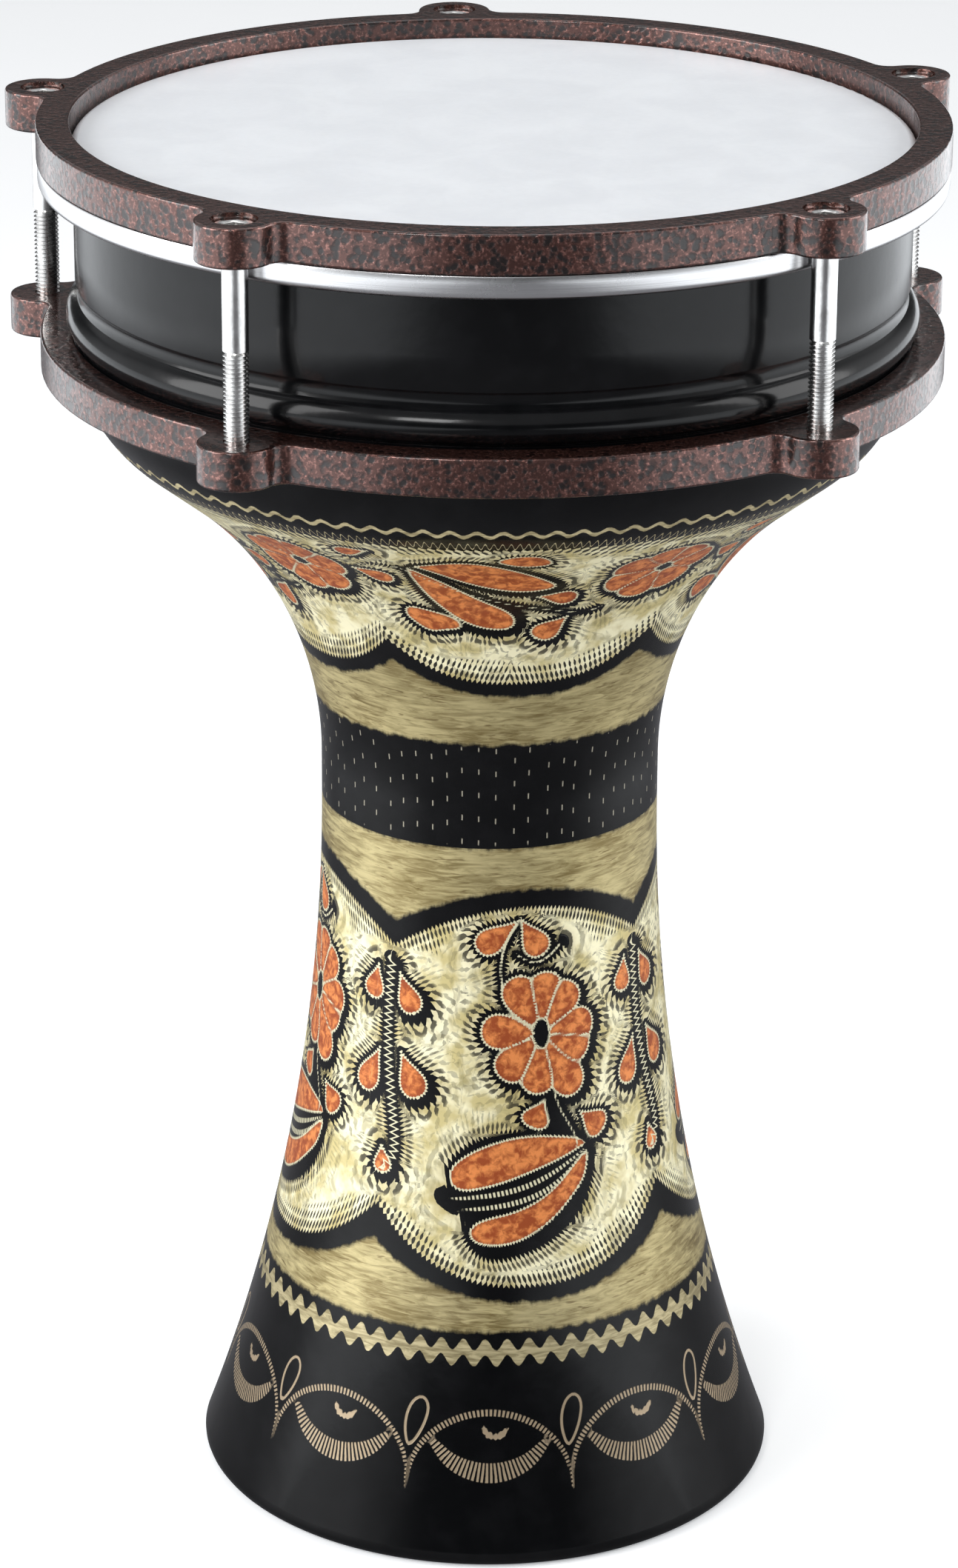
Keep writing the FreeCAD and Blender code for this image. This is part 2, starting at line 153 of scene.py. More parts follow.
# ------------------------ node bench
class Bench:
    """Places shader nodes in one tree and wires them by value."""

    def __init__(self, tree):
        self.tree = tree
        self.placed = 0

    def node(self, kind, **settings):
        made = self.tree.nodes.new(kind)
        made.location = (180 * (self.placed % 24), -260 * (self.placed // 24))
        self.placed += 1
        for key, value in settings.items():
            setattr(made, key, value)
        return made

    def feed(self, socket, value):
        if isinstance(value, bpy.types.NodeSocket):
            self.tree.links.new(value, socket)
        elif value is not None:
            socket.default_value = value

    def wire(self, made, **values):
        """Feeds sockets by name, with _ for a space."""
        for name, value in values.items():
            self.feed(made.inputs[name.replace("_", " ")], value)

    def math(self, operation, *values, clamp=False):
        made = self.node("ShaderNodeMath", operation=operation, use_clamp=clamp)
        for socket, value in zip(made.inputs, values):
            self.feed(socket, value)
        return made.outputs[0]
    def add(self, a, b, clamp=False):
        return self.math("ADD", a, b, clamp=clamp)

    def less(self, a, b):
        return self.math("SUBTRACT", a, b)

    def times(self, a, b):
        return self.math("MULTIPLY", a, b)

    def over(self, a, b):
        return self.math("DIVIDE", a, b)

    def most(self, a, b):
        return self.math("MAXIMUM", a, b)

    def unsigned(self, value):
        return self.math("ABSOLUTE", value)

    def saw(self, value, pitch):
        """0 to 1 and back, once every pitch."""
        return self.over(self.math("PINGPONG", value, pitch / 2), pitch / 2)

    def step(self, value, low, high, at_low=0.0, at_high=1.0):
        """Goes smoothly from at_low to at_high as value goes from low to high."""
        made = self.node("ShaderNodeMapRange", interpolation_type="SMOOTHSTEP")
        for name, given in (("Value", value), ("From Min", low), ("From Max", high),
                            ("To Min", at_low), ("To Max", at_high)):
            self.feed(made.inputs[name], given)
        return made.outputs[0]

    def colour(self, factor, low, high):
        made = self.node("ShaderNodeMix", data_type="RGBA")
        self.feed(made.inputs["Factor"], factor)
        for name, given in (("A", low), ("B", high)):
            socket = [s for s in made.inputs if s.name == name and s.type == "RGBA"][0]
            self.feed(socket, given if isinstance(given, bpy.types.NodeSocket)
                      else (*given, 1.0))
        return [s for s in made.outputs if s.type == "RGBA"][0]

    def blend(self, factor, low, high):
        """low where factor is 0 and high where it is 1, for plain values."""
        made = self.node("ShaderNodeMix", data_type="FLOAT")
        self.feed(made.inputs["Factor"], factor)
        self.feed(made.inputs[2], low)
        self.feed(made.inputs[3], high)
        return made.outputs[0]

    def own(self, name):
        return self.node("ShaderNodeAttribute", attribute_name=name).outputs["Fac"]

    def place(self, stretch=(1, 1, 1)):
        """Object coordinates in millimetres, stretched along each axis."""
        where = self.node("ShaderNodeTexCoord").outputs["Object"]
        made = self.node("ShaderNodeMapping")
        self.feed(made.inputs["Vector"], where)
        made.inputs["Scale"].default_value = tuple(s / MM for s in stretch)
        return made.outputs[0]

    def axes(self):
        """Object coordinates in millimetres, one value for each axis."""
        made = self.node("ShaderNodeSeparateXYZ")
        self.feed(made.inputs[0], self.place())
        return made.outputs

    def noise(self, where, size, detail=2.0, rough=0.5, distort=0.0):
        """Cloudy value with features about size millimetres across."""
        made = self.node("ShaderNodeTexNoise")
        self.feed(made.inputs["Vector"], where)
        made.inputs["Scale"].default_value = 1 / size
        made.inputs["Detail"].default_value = detail
        made.inputs["Roughness"].default_value = rough
        made.inputs["Distortion"].default_value = distort
        return made.outputs[0]

    def group(self, shared, **values):
        made = self.node("ShaderNodeGroup", node_tree=shared)
        self.wire(made, **values)
        return made.outputs

    def bump(self, height, depth, under=None):
        """Normal from a 0 to 1 height that is depth millimetres tall."""
        made = self.node("ShaderNodeBump")
        made.inputs["Distance"].default_value = depth * MM
        self.feed(made.inputs["Height"], height)
        if under is not None:
            self.feed(made.inputs["Normal"], under)
        return made.outputs[0]


def new_group(name, inputs, outputs):
    tree = bpy.data.node_groups.new(name, "ShaderNodeTree")
    for title, kind, value in inputs:
        socket = tree.interface.new_socket(name=title, in_out="INPUT", socket_type=kind)
        if value is not None:
            socket.default_value = value
    for title, kind in outputs:
        tree.interface.new_socket(name=title, in_out="OUTPUT", socket_type=kind)
    bench = Bench(tree)
    given, out = bench.node("NodeGroupInput"), bench.node("NodeGroupOutput")
    return bench, given.outputs, out.inputs


def new_material(name, **fixed):
    """A material, its bench and its shader, with the shader's constants set."""
    material = bpy.data.materials.new(name)
    material.use_nodes = True
    shader = material.node_tree.nodes["Principled BSDF"]
    for key, value in fixed.items():
        shader.inputs[key.replace("_", " ")].default_value = value
    return material, Bench(material.node_tree), shader


# ------------------------ shared effects
def make_polish():
    """Faint smears and dust that every handled surface carries."""
    bench, given, out = new_group(
        "handling_marks",
        [("Rough", "NodeSocketFloat", 0.2), ("Spread", "NodeSocketFloat", 0.1)],
        [("Roughness", "NodeSocketFloat"), ("Mark", "NodeSocketFloat")])
    smear = bench.noise(bench.place((1, 1, 0.6)), 19, 3, 0.55, 0.6)
    fine = bench.noise(bench.place(), 1.6, 2, 0.5)
    mark = bench.add(bench.times(smear, 0.75), bench.times(fine, 0.25))
    shift = bench.times(bench.less(mark, 0.45), given["Spread"])
    bench.feed(out["Roughness"], bench.add(given["Rough"], shift, clamp=True))
    bench.feed(out["Mark"], mark)
    return bench.tree


def make_turning():
    """Fine rings that a lathe tool or a polishing mop leaves round the axis."""
    bench, given, out = new_group(
        "turning_rings",
        [("Pitch", "NodeSocketFloat", 0.3)],
        [("Height", "NodeSocketFloat"), ("Streak", "NodeSocketFloat")])
    x, y, z = bench.axes()
    radius = bench.math("SQRT", bench.add(bench.times(x, x), bench.times(y, y)))
    joined = bench.node("ShaderNodeCombineXYZ")
    bench.feed(joined.inputs[0], bench.over(radius, given["Pitch"]))
    bench.feed(joined.inputs[2], bench.over(z, given["Pitch"]))
    rings = bench.noise(joined.outputs[0], 1.0, 2, 0.6)
    wide = bench.noise(joined.outputs[0], 9.0, 2, 0.5)
    bench.feed(out["Height"], rings)
    bench.feed(out["Streak"], bench.add(bench.times(rings, 0.5),
                                        bench.times(wide, 0.5)))
    return bench.tree


POLISH = make_polish()
TURNING = make_turning()


# ------------------------ materials
def rocked_edge(bench, bare, run, calm, plain, grit):
    """Where bare metal ends: in teeth where it was rocked, faded where it was brushed.
    The strokes behind follow the same teeth."""
    lean = bench.add(run, bench.times(bare, 0.28))
    tooth = bench.saw(bench.add(lean, bench.times(grit, 0.35)), TOOTH)
    edge = bench.add(bare, bench.times(bench.less(tooth, 0.42),
                                       bench.blend(calm, 1.75, 1.3)))
    ragged = bench.noise(bench.place((1, 1, 0.5)), 2.4, 3, 0.6)
    faded = bench.add(bare, bench.times(bench.less(ragged, 0.5), 2.6))
    metal = bench.blend(plain, bench.step(edge, -0.1, 0.1),
                        bench.step(faded, -0.9, 0.7))
    return metal, tooth


def rocked_strokes(bench, bare, tooth, calm, plain, cloud):
    """Rows of lens-shaped rocked strokes, one after another in from each edge."""
    row = bench.math("FRACT", bench.over(bench.less(bare, 0.25), ROW))
    off = bench.times(bench.less(row, 0.5), 2.0)
    lens = bench.less(1.0, bench.times(off, off))
    deep = bench.step(bare, 0.5, 8.0, 0.62, 0.34)
    strokes = bench.step(bench.add(bench.less(1.0, tooth), bench.times(lens, deep)),
                         0.92, 1.06)
    wavy = bench.add(calm, bench.times(bench.less(cloud, 0.5), 1.5), clamp=True)
    strength = bench.most(bench.step(wavy, 0.0, 0.85, 0.26, 1.0),
                          bench.step(bare, 3.6, 1.8, 0.0, 0.9))
    reach = bench.times(bench.step(bare, 0.0, 0.4), bench.step(bare, 8.2, 6.4))
    return bench.times(bench.times(strokes, strength),
                       bench.times(reach, bench.less(1.0, plain)))


def ribbon(bench, place, height, sway, teeth, half):
    """A turned ribbon that sways up and down as it goes round, half wide each side."""
    angle, z, grit = place
    wave = bench.times(bench.math("COSINE", bench.times(angle, float(teeth))), sway)
    off = bench.unsigned(bench.less(z, bench.add(wave, height)))
    return bench.step(bench.less(bench.add(off, bench.times(grit, 0.5)), half),
                      0.4, 0.1)


def waist_dashes(bench, angle, z):
    """Columns of pricked dashes round the waist, each set a little off the last."""
    columns = bench.times(angle, DASH_COLUMNS / TURN)
    chance = bench.node("ShaderNodeTexWhiteNoise", noise_dimensions="1D")
    bench.feed(chance.inputs["W"], bench.math("FLOOR", columns))
    luck = chance.outputs["Value"]
    across = bench.unsigned(bench.less(bench.math("FRACT", columns),
                                       bench.add(0.35, bench.times(luck, 0.3))))
    rows = bench.math("FRACT", bench.add(bench.over(z, DASH_ROW), luck))
    along = bench.unsigned(bench.less(rows, 0.5))
    dash = bench.times(bench.step(across, 0.05, 0.025), bench.step(along, 0.13, 0.09))
    waist = bench.times(bench.step(z, 178.5, 179.5), bench.step(z, 204.6, 203.8))
    return bench.times(dash, waist)


def gold_look(bench, bare, plain, strokes, cloud, streak):
    """Gold: brushed in the plain bands, rocked behind the flowers, where its tone
    carries painted highlights and painted shade.
    """
    sweep = bench.noise(bench.place((0.6, 0.6, 1.2)), 12, 2, 0.5, 0.5)
    mixed = bench.add(bench.times(streak, 0.6), bench.times(sweep, 0.4))
    brushed = bench.colour(bench.step(mixed, 0.34, 0.64),
                           (0.25, 0.19, 0.072), (0.64, 0.55, 0.285))
    scratch = bench.noise(bench.place((0.22, 0.22, 1.9)), 1.5, 2, 0.7, 0.6)
    brushed = bench.colour(bench.step(scratch, 0.60, 0.72, 0.0, 0.75),
                           brushed, (0.17, 0.115, 0.04))
    # cloudy ground tone, partly random and partly painted: cream blotches are painted
    # highlights, olive ones painted shade
    ground = bench.colour(bench.step(cloud, 0.34, 0.6),
                          (0.66, 0.57, 0.27), (1.0, 0.95, 0.66))
    shade = bench.step(bare, 3.4, 0.2)
    ground = bench.colour(bench.times(shade, 0.4), ground, (0.46, 0.37, 0.16))
    # darker olive blotches: painted shade in the metal's dimples
    painted_dimple_shade = bench.noise(bench.place((1, 1, 0.7)), 4.5, 3, 0.6, 0.9)
    ground = bench.colour(bench.step(painted_dimple_shade, 0.50, 0.66, 0.0, 0.55),
                          ground, (0.30, 0.26, 0.12))
    gold = bench.colour(plain, ground, brushed)
    return bench.colour(strokes, gold, (0.035, 0.032, 0.022))


def copper_look(bench, copper):
    """Flecked copper tint, darker round the edge of each leaf."""
    fleck = bench.noise(bench.place(), 2.2, 3, 0.6, 0.4)
    look = bench.colour(bench.step(fleck, 0.36, 0.66),
                        (0.36, 0.075, 0.020), (0.84, 0.29, 0.085))
    rim = bench.step(bench.add(copper, bench.times(fleck, 1.2)), 1.9, 0.7, 0.0, 0.75)
    return bench.colour(rim, look, (0.30, 0.062, 0.018))


def engraved_lacquer():
    """Black lacquer over gold, cut through by a rocked graver and tinted with copper.
    The drawing itself is held in the piece's own values, in millimetres."""
    material, bench, shader = new_material("engraved_lacquer", Coat_Roughness=0.05,
                                           Specular_IOR_Level=0.24)
    x, y, z = bench.axes()
    angle = bench.math("ARCTAN2", x, bench.times(y, -1.0))
    bare, run, copper, calm, plain = (
        bench.own(name) for name in ("bare", "run", "copper", "calm", "plain"))
    line, loop, stem, stem_run, lash = (
        bench.own(name) for name in ("line", "loop", "stem", "stem_run", "lash"))
    cloud = bench.noise(bench.place(), 7, 3, 0.55)
    grit = bench.noise(bench.place(), 1.1, 2, 0.6)
    streak = bench.noise(bench.place((0.16, 0.16, 1.1)), 1.3, 5, 0.62, 1.2)
    metal, tooth = rocked_edge(bench, bare, run, calm, plain, grit)
    strokes = rocked_strokes(bench, bare, tooth, calm, plain, cloud)

    # tinted leaves: a bright nicked border, then copper
    nick = bench.saw(bench.add(run, bench.times(grit, 0.3)), NICK)
    border = bench.step(bench.add(copper, bench.times(nick, 0.55)), 0.02, 0.12)
    leaf = bench.step(bench.less(copper, bench.times(nick, 0.3)), 0.0, 0.2)
    # a single wriggled line down each stem, then cut lines and closed loops
    swing = bench.times(bench.less(bench.saw(stem_run, WRIGGLE), 0.5), 2.1)
    wriggle = bench.step(bench.unsigned(bench.less(stem, swing)), 0.52, 0.3)
    hair = bench.step(bench.add(line, bench.times(nick, 0.16)), 0.44, 0.26)
    hair = bench.most(hair, bench.step(bench.unsigned(loop), 0.42, 0.22))
    # the foot's fans of separate short cuts
    fan = bench.times(bench.step(lash, -0.05, 0.25),
                      bench.step(bench.saw(run, FAN_CUT), 0.32, 0.62))
    # turned ribbons: a broad one on the foot and two thin ones on the bowl
    place = (angle, z, grit)
    broad = ribbon(bench, place, 51.6, 1.35, 66, 1.9)
    thin = bench.most(ribbon(bench, place, 273.9, 0.7, 98, 0.52),
                      ribbon(bench, place, 270.0, 0.95, 290, 0.18))
    dash = waist_dashes(bench, angle, z)

    lit, pink = (0.76, 0.72, 0.50), (0.46, 0.36, 0.24)
    fine_cut = bench.colour(bench.step(z, 57, 58), pink, lit)
    ribbon_gold = bench.colour(bench.step(streak, 0.35, 0.65),
                               (0.30, 0.25, 0.13), (0.62, 0.54, 0.32))
    black = bench.colour(bench.step(cloud, 0.4, 0.7),
                         (0.0016, 0.0018, 0.0022), (0.0032, 0.0034, 0.0040))
    shown = bench.colour(metal, black,
                         gold_look(bench, bare, plain, strokes, cloud, streak))
    for mask, look in ((border, lit), (leaf, copper_look(bench, copper)),
                       (bench.most(wriggle, hair), fine_cut), (fan, fine_cut),
                       (bench.most(broad, thin), ribbon_gold),
                       (dash, (0.42, 0.39, 0.31))):
        shown = bench.colour(mask, shown, look)
    cut = metal
    for part in (border, leaf, wriggle, hair, fan, broad, thin, dash):
        cut = bench.most(cut, part)
    marks = bench.group(POLISH, Rough=0.17, Spread=0.10)
    brushing = bench.step(streak, 0.3, 0.7, 0.34, 0.5)
    # engraving lies below the lacquer, and the spun wall is faintly dimpled
    uncut = bench.less(1.0, bench.most(cut, strokes))
    relief = bench.add(bench.times(uncut, 0.6),
                       bench.times(bench.times(streak, cut), 0.4))
    bench.wire(shader, Base_Color=shown,
               Metallic=bench.times(cut, bench.blend(plain, 0.32, 0.62)),
               Roughness=bench.blend(cut, marks["Roughness"], brushing),
               Coat_Weight=bench.blend(cut, 0.10, 0.3),
               Normal=bench.bump(relief, 0.10, bench.bump(cloud, 0.05)))
    return material


def hammer_paint():
    """Copper hammer finish: the paint draws into small dark pools with a bright web,
    flecked with painted glints.
    """
    material, bench, shader = new_material("hammer_paint", Coat_Weight=0.85,
                                           Coat_Roughness=0.12)
    where = bench.place()
    drift = bench.node("ShaderNodeTexNoise")
    bench.feed(drift.inputs["Vector"], where)
    drift.inputs["Scale"].default_value = 0.45
    bent = bench.node("ShaderNodeVectorMath", operation="MULTIPLY_ADD")
    bench.feed(bent.inputs[0], drift.outputs["Color"])
    bent.inputs[1].default_value = (1.3, 1.3, 1.3)
    bench.feed(bent.inputs[2], where)
    pools = bench.node("ShaderNodeTexVoronoi", feature="SMOOTH_F1")
    bench.feed(pools.inputs["Vector"], bent.outputs[0])
    pools.inputs["Scale"].default_value = 0.56
    pools.inputs["Smoothness"].default_value = 0.35
    cloud = bench.noise(where, 8, 3, 0.55)
    fine = bench.noise(where, 0.7, 2, 0.6)
    level = bench.add(pools.outputs["Distance"],
                      bench.times(bench.less(cloud, 0.5), 0.9))
    web = bench.step(bench.add(level, bench.times(fine, 0.16)), 0.30, 0.74)
    look = bench.colour(web, (0.008, 0.0032, 0.0027), (0.100, 0.041, 0.032))
    # bright flecks on the web: painted glints
    look = bench.colour(bench.times(bench.step(fine, 0.5, 0.72), web), look,
                        (0.30, 0.14, 0.115))
    marks = bench.group(POLISH, Rough=0.25, Spread=0.2)
    bench.wire(shader, Base_Color=look, Roughness=marks["Roughness"],
               Metallic=bench.step(web, 0.0, 1.0, 0.35, 0.85),
               Normal=bench.bump(web, 0.16, bench.bump(cloud, 0.12)))
    return material


def drum_skin():
    """White plastic film with a faint orange skin and hand marks."""
    material, bench, shader = new_material("drum_skin", Specular_IOR_Level=0.45,
                                           Subsurface_Weight=0.08)
    marks = bench.group(POLISH, Rough=0.32, Spread=0.12)
    look = bench.colour(bench.step(marks["Mark"], 0.3, 0.7), (0.78, 0.79, 0.81),
                        (0.84, 0.85, 0.865))
    tooth = bench.noise(bench.place(), 0.35, 2, 0.5)
    bench.wire(shader, Base_Color=look, Roughness=marks["Roughness"],
               Normal=bench.bump(tooth, 0.012))
    return material


def turned_metal(name, dark, light, rough, pitch, depth):
    """Metal between two tones, with turned rings pitch apart and depth deep."""
    material, bench, shader = new_material(name, Metallic=1.0)
    rings = bench.group(TURNING, Pitch=pitch)
    marks = bench.group(POLISH, Rough=rough, Spread=0.16)
    streak = bench.step(rings["Streak"], 0.3, 0.7)
    bench.wire(shader, Base_Color=bench.colour(streak, dark, light),
               Roughness=marks["Roughness"], Normal=bench.bump(rings["Height"], depth))
    return material


def zinc_plate():
    """Bright zinc: cool and slightly mottled."""
    material, bench, shader = new_material("zinc_plate", Metallic=1.0)
    marks = bench.group(POLISH, Rough=0.20, Spread=0.2)
    mottle = bench.noise(bench.place((1, 1, 0.5)), 2.5, 3, 0.6)
    look = bench.colour(bench.step(mottle, 0.3, 0.7),
                        (0.62, 0.61, 0.60), (0.88, 0.88, 0.87))
    grain = bench.noise(bench.place((1, 1, 0.3)), 0.5, 2, 0.5)
    bench.wire(shader, Base_Color=look, Roughness=marks["Roughness"],
               Normal=bench.bump(grain, 0.015))
    return material


def resin_look():
    """Set resin, cloudy and slightly yellow."""
    material, bench, shader = new_material("hoop_resin_look")
    marks = bench.group(POLISH, Rough=0.45, Spread=0.2)
    look = bench.colour(marks["Mark"], (0.50, 0.49, 0.45), (0.66, 0.65, 0.60))
    cloud = bench.noise(bench.place(), 2, 2)
    bench.wire(shader, Base_Color=look, Roughness=marks["Roughness"],
               Normal=bench.bump(cloud, 0.05))
    return material


def floor_look():
    """Pale to the camera; to the lacquer, a dark room with bright sides."""
    material, bench, shader = new_material("studio_floor", Roughness=0.55)
    path = bench.node("ShaderNodeLightPath").outputs
    pale = bench.colour(bench.noise(bench.place(), 160, 2),
                        (0.90, 0.90, 0.90), (0.93, 0.93, 0.93))
    bench.feed(shader.inputs["Base Color"],
               bench.colour(path["Is Glossy Ray"], pale, (0.16, 0.16, 0.17)))
    shader.inputs["Emission Color"].default_value = (0.93, 0.97, 1.0, 1)
    aside = bench.step(bench.unsigned(bench.axes()[0]), 330, 760, 0.0, 1.5)
    bench.feed(shader.inputs["Emission Strength"],
               bench.add(bench.times(path["Is Camera Ray"], 0.30),
                         bench.times(path["Is Glossy Ray"], aside)))
    return material


# ------------------------ turning
def only(geom, kind):
    return [part for part in geom if isinstance(part, kind)]


class HalfSection:
    """A half section drawn edge by edge in the XZ plane, then spun about the axis."""

    def __init__(self, r, z):
        self.bm = bmesh.new()
        self.first = self.tip = self.bm.verts.new((r * MM, 0, z * MM))

    def line(self, r, z, parts=1):
        step = (Vector((r * MM, 0, z * MM)) - self.tip.co) / parts
        for _ in range(parts):
            made = bmesh.ops.extrude_vert_indiv(self.bm, verts=[self.tip])
            self.tip = made["verts"][0]
            self.tip.co += step
        return self

    def arc(self, r, z, radius, side, parts):
        """An arc to (r, z), with its centre on the left of the way there for side 1."""
        start, end = self.tip.co.copy(), Vector((r * MM, 0, z * MM))
        half = (end - start) / 2
        left = Vector((-half.z, 0, half.x)).normalized()
        reach = math.sqrt(max((radius * MM) ** 2 - half.length_squared, 0))
        centre = start + half + left * (side * reach)
        swept = 2 * math.asin(min(half.length / (radius * MM), 1))
        made = bmesh.ops.spin(self.bm, geom=[self.tip], cent=centre, axis=(0, 1, 0),
                              angle=-side * swept, steps=parts)
        self.tip = only(made["geom_last"], bmesh.types.BMVert)[0]
        return self

    def heights(self):
        """Radius and height of every corner drawn so far."""
        return [(v.co.x / MM, v.co.z / MM) for v in self.bm.verts]

    def spun(self, parts):
        """Closes the section and turns it into a ring, parts faces round."""
        bm, share = self.bm, TURN / SECTORS
        if (self.tip.co - self.first.co).length > TOUCHING:
            bm.edges.new((self.tip, self.first))
        else:
            bmesh.ops.remove_doubles(bm, verts=bm.verts, dist=TOUCHING)
        bmesh.ops.spin(bm, geom=bm.verts[:] + bm.edges[:], cent=(0, 0, 0),
                       axis=(0, 0, 1), angle=share, steps=parts // SECTORS)
        while share < TURN * 0.9:
            made = bmesh.ops.duplicate(
                bm, geom=bm.verts[:] + bm.edges[:] + bm.faces[:])
            bmesh.ops.rotate(bm, verts=only(made["geom"], bmesh.types.BMVert),
                             cent=(0, 0, 0), matrix=Matrix.Rotation(share, 3, "Z"))
            bmesh.ops.remove_doubles(bm, verts=bm.verts, dist=TOUCHING)
            share *= 2
        return bm


def finish_mesh(bm, name, body, materials, smooth_deg=40):
    """Makes a closed mesh into a named piece, creased where it turns sharply."""
    bmesh.ops.remove_doubles(bm, verts=bm.verts, dist=TOUCHING)
    bmesh.ops.recalc_face_normals(bm, faces=bm.faces)
    sharp = math.radians(smooth_deg)
    for face in bm.faces:
        face.smooth = True
    for joint in bm.edges:
        if len(joint.link_faces) == 2 and joint.calc_face_angle(0) > sharp:
            joint.smooth = False
    mesh = bpy.data.meshes.new(name)
    bm.to_mesh(mesh)
    bm.free()
    piece = bpy.data.objects.new(name, mesh)
    bpy.context.scene.collection.objects.link(piece)
    for material in materials:
        mesh.materials.append(material)
    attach(piece, body)
    return piece


def bowl_section():
    """Outline of the bowl: up its outside, over the bearing edge and down inside."""
    half = HalfSection(WAIST_R, WAIST_LOW)
    half.line(WAIST_R, NECK_FROM, 6).arc(76.1, 259.66, NECK_SWEEP, -1, 84)
    half.line(87.37, 268.46, 14).arc(BULGE_R, 292.1, SHOULDER_ROUND, 1, 16)
    half.line(BULGE_R, 296.5).arc(98.2, 304.9, 5, 1, 10).arc(COLLAR_R, 309.0, 5, -1, 8)
    half.line(COLLAR_R, 340.25, 4).arc(97.0, 341.85, WALL, 1, 6)
    outside = half.heights()
    half.line(96.95, 341.85).line(96.95, 309.2, 2)
    half.arc(98.2 - WALL, 304.6, 7, 1, 4).arc(BULGE_R - WALL, 296.9, 4.4, -1, 5)
    half.line(BULGE_R - WALL, 292.1).arc(86.39, 269.72, SHOULDER_ROUND - WALL, -1, 6)
    half.line(75.12, 260.92).arc(WAIST_R - WALL, NECK_FROM, NECK_SWEEP + WALL, 1, 14)
    half.line(WAIST_R - WALL, WAIST_LOW, 2)
    return half, outside


def foot_section():
    """Outline of the foot from its folded rim up to the lap inside the bowl."""
    def flare(z):
        return WAIST_R + FOOT_SWEEP - math.sqrt(FOOT_SWEEP ** 2 - (WAIST_LOW - z) ** 2)

    lap = WAIST_R - WALL - 0.05
    half = HalfSection(MOUTH_R, 0)
    half.line(68.91, 0).arc(flare(3.2), 3.2, 3, 1, 6)
    for z, parts in ((16, 10), (47, 30), (64, 14), (166, 124), (WAIST_LOW, 8)):
        half.arc(flare(z), z, FOOT_SWEEP, -1, parts)
    outside = half.heights()
    half.line(lap, WAIST_LOW).line(lap, LAP_TOP, 2)
    half.line(WAIST_R - 2 * WALL, LAP_TOP).line(WAIST_R - 2 * WALL, 177, 2)
    half.line(WAIST_R - WALL, 174.5).arc(69.55, 5, FOOT_SWEEP + WALL, 1, 16)
    half.line(MOUTH_R, 5)
    return half, outside


# ------------------------ the engraver's drawing
def rounded(points, closed=True, rounds=2):
    """The points with their corners cut off again and again until they run smoothly."""
    p = np.array(points, float)
    for _ in range(rounds):
        q = np.roll(p, -1, 0) if closed else p[1:]
        a = p if closed else p[:-1]
        cut = np.stack([a * 0.75 + q * 0.25, a * 0.25 + q * 0.75], 1).reshape(-1, 2)
        p = cut if closed else np.vstack([p[:1], cut, p[-1:]])
    return p


def measured(x, y, line, closed):
    """For points (x, y): distance to a drawn line, positive inside or on its left,
    and the length run along it."""
    a = line if closed else line[:-1]
    b = np.roll(line, -1, 0) if closed else line[1:]
    step = b - a
    length = np.maximum(np.hypot(step[:, 0], step[:, 1]), 1e-6)
    start = np.concatenate([[0], np.cumsum(length)])
    best = np.full(x.shape, 1e9)
    along = np.zeros(x.shape)
    side = np.ones(x.shape)
    inside = np.zeros(x.shape, bool)
    for i in range(len(a)):
        rx, ry = x - a[i, 0], y - a[i, 1]
        share = np.clip((rx * step[i, 0] + ry * step[i, 1]) / length[i] ** 2, 0, 1)
        gap = (rx - share * step[i, 0]) ** 2 + (ry - share * step[i, 1]) ** 2
        near = gap < best
        best[near] = gap[near]
        along[near] = (start[i] + share * length[i])[near]
        side[near] = np.sign(step[i, 0] * ry - step[i, 1] * rx)[near]
        if closed and step[i, 1] != 0:
            reach = a[i, 0] + (y - a[i, 1]) * step[i, 0] / step[i, 1]
            inside ^= ((a[i, 1] > y) != (b[i, 1] > y)) & (x < reach)
    if closed:
        side = np.where(inside, 1.0, -1.0)
        along = np.abs(along - start[-1] / 2)
    return np.sqrt(best) * side, along


